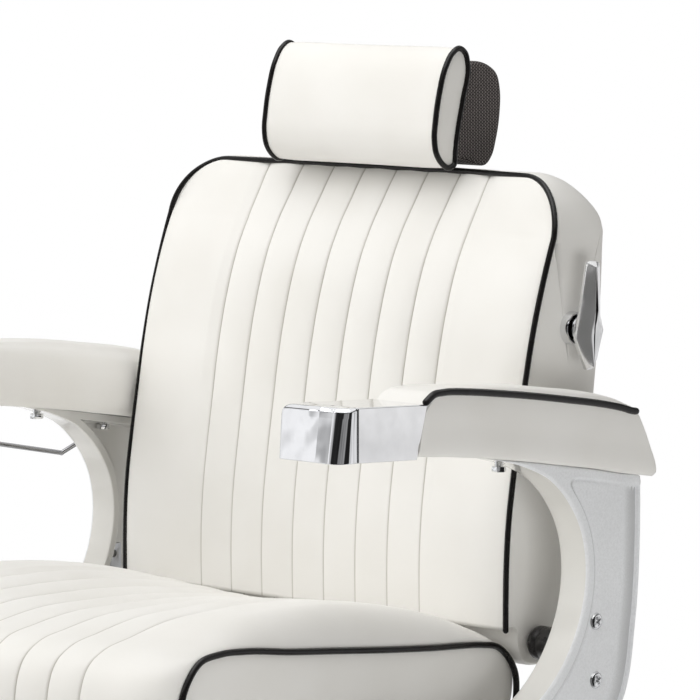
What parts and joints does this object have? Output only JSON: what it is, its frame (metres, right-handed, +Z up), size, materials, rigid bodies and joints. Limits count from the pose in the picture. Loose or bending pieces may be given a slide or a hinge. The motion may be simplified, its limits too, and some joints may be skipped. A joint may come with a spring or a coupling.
{
  "type": "reclining salon chair",
  "caption": "Reclining salon chair with channelled white upholstery, cast arm frames, chrome arm noses, sliding headrest, legrest and a hydraulic pedestal base.",
  "frame": {"origin": "on the floor under the swivel axis, in the underside of the base", "axes": "+Z up, the sitter faces -Y, +X to the sitter's left"},
  "size_m": [0.7697, 0.8778, 1.049],
  "materials": {
    "upholstery": "warm white upholstery vinyl with a soft sheen",
    "piping": "glossy black vinyl piping",
    "white_paint": "white stoved enamel on cast metal",
    "chrome": "polished chrome plate",
    "steel": "plain machined steel",
    "plywood": "birch plywood",
    "rubber": "ribbed black rubber",
    "black_plastic": "black moulded plastic",
    "woven_cover": "dark brown ribbed weave"
  },
  "bodies": {
    "base": {"floor_gasket": "rubber", "base_plate": "white_paint", "base_trim_ring": "chrome", "column_housing": "chrome", "cylinder_tube": "steel", "gland_ring": "steel", "pedal_bracket": "white_paint"},
    "pump_pedal": {"pedal_arm": "chrome", "pedal_pad": "rubber"},
    "lift": {"ram": "chrome", "thrust_bearing": "steel"},
    "chair": {"swivel_hub": "white_paint", "seat_frame": "white_paint", "seat_board": "plywood", "seat_cushion": "upholstery", "seat_piping": "piping", "side_frame_left": "white_paint", "side_frame_right": "white_paint", "frame_bolts": "steel", "pivot_brackets": "steel", "pivot_hub_caps": "black_plastic", "bracket_screws": "chrome", "arm_plate_left": "steel", "arm_plate_right": "steel", "arm_pad_left": "upholstery", "arm_pad_right": "upholstery", "arm_piping_left": "piping", "arm_piping_right": "piping", "arm_nose_left": "chrome", "arm_nose_right": "chrome", "arm_cap_left": "chrome", "arm_cap_right": "chrome", "arm_bolts": "steel", "towel_rail": "chrome", "legrest_brackets": "steel", "lever_bracket": "steel"},
    "release_lever": {"recline_lever": "chrome", "recline_grip": "black_plastic"},
    "backrest": {"back_cushion": "upholstery", "back_piping": "piping", "back_shell": "upholstery", "back_board": "plywood", "back_frame": "steel", "headrest_guide": "steel", "lever_escutcheon": "chrome"},
    "headrest_lock": {"lock_lever": "chrome", "lock_shaft": "chrome"},
    "mast": {"headrest_mast": "chrome"},
    "headrest": {"headrest_pad": "upholstery", "headrest_piping": "piping", "headrest_plate": "steel", "headrest_cover": "woven_cover", "headrest_pin": "steel"},
    "legrest": {"legrest_pad": "upholstery", "legrest_board": "plywood", "legrest_frame": "chrome"},
    "footrest": {"footrest_frame": "chrome", "footrest_tread": "rubber"}
  },
  "joints": [
    {"name": "lift_slide", "type": "slide", "parent": "base", "child": "lift", "axis": [0, 0, 1], "range_m": [0, 0.17]},
    {"name": "seat_swivel", "type": "hinge", "parent": "lift", "child": "chair", "pos_m": [0, 0, 0.3], "axis": [0, 0, 1], "continuous": true},
    {"name": "pump_press", "type": "hinge", "parent": "base", "child": "pump_pedal", "pos_m": [0.092, 0, 0.084], "axis": [0, 1, 0], "range_deg": [0, 12], "stiffness_Nm_per_rad": 12, "springref_deg": -20.05},
    {"name": "recline", "type": "hinge", "parent": "chair", "child": "backrest", "pos_m": [0, 0.262, 0.475], "axis": [-1, 0, 0], "range_deg": [0, 62]},
    {"name": "recline_pull", "type": "hinge", "parent": "chair", "child": "release_lever", "pos_m": [0.27, -0.02, 0.372], "axis": [-1, 0, 0], "range_deg": [0, 20], "stiffness_Nm_per_rad": 2.5, "springref_deg": -17.19},
    {"name": "lock_turn", "type": "hinge", "parent": "backrest", "child": "headrest_lock", "pos_m": [0.28, 0.314, 0.777], "axis": [1, 0, 0], "range_deg": [0, 60]},
    {"name": "mast_slide", "type": "slide", "parent": "backrest", "child": "mast", "axis": [0, 0.1045, 0.9945], "range_m": [0, 0.12]},
    {"name": "headrest_tilt", "type": "hinge", "parent": "mast", "child": "headrest", "pos_m": [0, 0.35217, 0.965], "axis": [-1, 0, 0], "range_deg": [-8, 25]},
    {"name": "legrest_swing", "type": "hinge", "parent": "chair", "child": "legrest", "pos_m": [0, -0.198, 0.345], "axis": [-1, 0, 0], "range_deg": [0, 70]},
    {"name": "footrest_fold", "type": "hinge", "parent": "legrest", "child": "footrest", "pos_m": [0, -0.32609, 0.15674], "axis": [-1, 0, 0], "range_deg": [0, 75]}
  ],
  "couplings": [
    {"joint": "legrest_swing", "follows": "recline", "ratio": 1.1}
  ]
}
